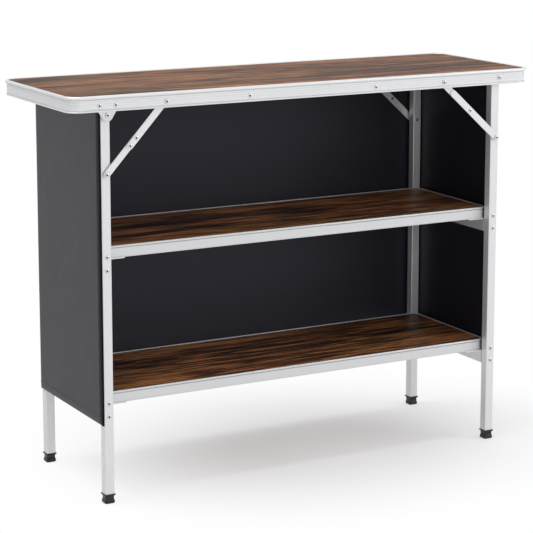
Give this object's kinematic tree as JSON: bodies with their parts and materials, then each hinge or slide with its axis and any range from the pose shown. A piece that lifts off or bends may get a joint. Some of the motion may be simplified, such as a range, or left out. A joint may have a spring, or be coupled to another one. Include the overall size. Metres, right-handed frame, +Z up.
{
  "type": "folding bar table",
  "caption": "Tall folding bar table with a rimmed wood-grain top, folding leg frames with knee braces, lift-out shelves and a cloth skirt on three sides.",
  "frame": {"origin": "on the floor below the middle of the tabletop", "axes": "+X along the table, +Y to the back where the skirt hangs, -Y the open front, +Z up"},
  "size_m": [1.2, 0.4, 0.916],
  "materials": {
    "aluminium": "satin anodised",
    "steel": "zinc plated, satin",
    "top_wood": "printed wood grain, satin",
    "shelf_wood": "printed wood grain, satin",
    "cloth": "woven polyester, matt",
    "binding": "woven tape, matt",
    "black_plastic": "moulded, matt"
  },
  "bodies": {
    "tabletop": {"table_board": "top_wood", "rim_front": "aluminium", "rim_rear": "aluminium", "rim_left": "aluminium", "rim_right": "aluminium", "left_pivot_brackets": "steel", "brace_hangers": "steel", "board_clips": "steel", "rim_rivets": "steel", "brace_anchor_pins": "steel", "leg_pivot_pins": "steel", "skirt_left": "cloth", "skirt_back": "cloth", "skirt_right": "cloth", "skirt_bindings": "binding", "skirt_strips": "black_plastic"},
    "left_frame": {"left_front_leg": "aluminium", "left_rear_leg": "aluminium", "left_tie_tube": "aluminium", "left_front_foot": "black_plastic", "left_rear_foot": "black_plastic", "left_shelf_brackets": "steel", "left_shelf_ledges": "steel", "left_leg_rivets": "steel", "left_brace_studs": "steel"},
    "right_frame": {"right_front_leg": "aluminium", "right_rear_leg": "aluminium", "right_tie_tube": "aluminium", "right_front_foot": "black_plastic", "right_rear_foot": "black_plastic", "right_shelf_brackets": "steel", "right_shelf_ledges": "steel", "right_leg_rivets": "steel", "right_brace_studs": "steel"},
    "left_front_upper_brace": {"left_front_upper_bar": "aluminium", "left_front_knee_rivets": "steel"},
    "left_front_lower_brace": {"left_front_lower_bar": "aluminium"},
    "left_rear_upper_brace": {"left_rear_upper_bar": "aluminium", "left_rear_knee_rivets": "steel"},
    "left_rear_lower_brace": {"left_rear_lower_bar": "aluminium"},
    "right_front_upper_brace": {"right_front_upper_bar": "aluminium", "right_front_lock_stud": "steel"},
    "right_front_lower_brace": {"right_front_lower_bar": "aluminium", "right_front_knee_rivets": "steel"},
    "right_rear_upper_brace": {"right_rear_upper_bar": "aluminium", "right_rear_lock_stud": "steel"},
    "right_rear_lower_brace": {"right_rear_lower_bar": "aluminium", "right_rear_knee_rivets": "steel"},
    "mid_shelf": {"mid_shelf_board": "shelf_wood", "mid_shelf_rim_front": "aluminium", "mid_shelf_rim_rear": "aluminium", "mid_shelf_rim_left": "aluminium", "mid_shelf_rim_right": "aluminium", "mid_shelf_end_bars": "aluminium"},
    "low_shelf": {"low_shelf_board": "shelf_wood", "low_shelf_rim_front": "aluminium", "low_shelf_rim_rear": "aluminium", "low_shelf_rim_left": "aluminium", "low_shelf_rim_right": "aluminium", "low_shelf_end_bars": "aluminium"}
  },
  "joints": [
    {"name": "left_fold", "type": "hinge", "parent": "tabletop", "child": "left_frame", "pos_m": [-0.509, 0, 0.8725], "axis": [0, -1, 0], "range_deg": [0, 90]},
    {"name": "left_front_upper_brace_turn", "type": "hinge", "parent": "tabletop", "child": "left_front_upper_brace", "pos_m": [-0.369, -0.1873, 0.894], "axis": [0, -1, 0], "range_deg": [0, 104.9]},
    {"name": "left_front_lower_brace_turn", "type": "hinge", "parent": "left_frame", "child": "left_front_lower_brace", "pos_m": [-0.509, -0.185, 0.74125], "axis": [0, -1, 0], "range_deg": [-154.2, 0]},
    {"name": "left_rear_upper_brace_turn", "type": "hinge", "parent": "tabletop", "child": "left_rear_upper_brace", "pos_m": [-0.369, 0.1873, 0.894], "axis": [0, -1, 0], "range_deg": [0, 104.9]},
    {"name": "left_rear_lower_brace_turn", "type": "hinge", "parent": "left_frame", "child": "left_rear_lower_brace", "pos_m": [-0.509, 0.185, 0.74125], "axis": [0, -1, 0], "range_deg": [-154.2, 0]},
    {"name": "right_fold", "type": "hinge", "parent": "tabletop", "child": "right_frame", "pos_m": [0.509, 0, 0.8965], "axis": [0, 1, 0], "range_deg": [0, 90]},
    {"name": "right_front_upper_brace_turn", "type": "hinge", "parent": "tabletop", "child": "right_front_upper_brace", "pos_m": [0.352, -0.185, 0.894], "axis": [0, 1, 0], "range_deg": [0, 139.5]},
    {"name": "right_front_lower_brace_turn", "type": "hinge", "parent": "right_frame", "child": "right_front_lower_brace", "pos_m": [0.509, -0.1873, 0.7515], "axis": [0, 1, 0], "range_deg": [-133.9, 0]},
    {"name": "right_rear_upper_brace_turn", "type": "hinge", "parent": "tabletop", "child": "right_rear_upper_brace", "pos_m": [0.352, 0.185, 0.894], "axis": [0, 1, 0], "range_deg": [0, 139.5]},
    {"name": "right_rear_lower_brace_turn", "type": "hinge", "parent": "right_frame", "child": "right_rear_lower_brace", "pos_m": [0.509, 0.1873, 0.7515], "axis": [0, 1, 0], "range_deg": [-133.9, 0]},
    {"name": "mid_shelf_lift", "type": "slide", "parent": "tabletop", "child": "mid_shelf", "axis": [0, 0, 1], "range_m": [0, 0.2695]},
    {"name": "low_shelf_lift", "type": "slide", "parent": "tabletop", "child": "low_shelf", "axis": [0, 0, 1], "range_m": [0, 0.5375]}
  ],
  "couplings": [
    {"joint": "left_front_upper_brace_turn", "follows": "left_fold", "ratio": 1.1547},
    {"joint": "left_front_lower_brace_turn", "follows": "left_fold", "ratio": -1.7024},
    {"joint": "left_rear_upper_brace_turn", "follows": "left_fold", "ratio": 1.1547},
    {"joint": "left_rear_lower_brace_turn", "follows": "left_fold", "ratio": -1.7024},
    {"joint": "right_front_upper_brace_turn", "follows": "right_fold", "ratio": 1.5385},
    {"joint": "right_front_lower_brace_turn", "follows": "right_fold", "ratio": -1.4765},
    {"joint": "right_rear_upper_brace_turn", "follows": "right_fold", "ratio": 1.5385},
    {"joint": "right_rear_lower_brace_turn", "follows": "right_fold", "ratio": -1.4765},
    {"joint": "mid_shelf_lift", "follows": "right_fold", "m_per_rad": 0.17125},
    {"joint": "low_shelf_lift", "follows": "right_fold", "m_per_rad": 0.34186}
  ]
}
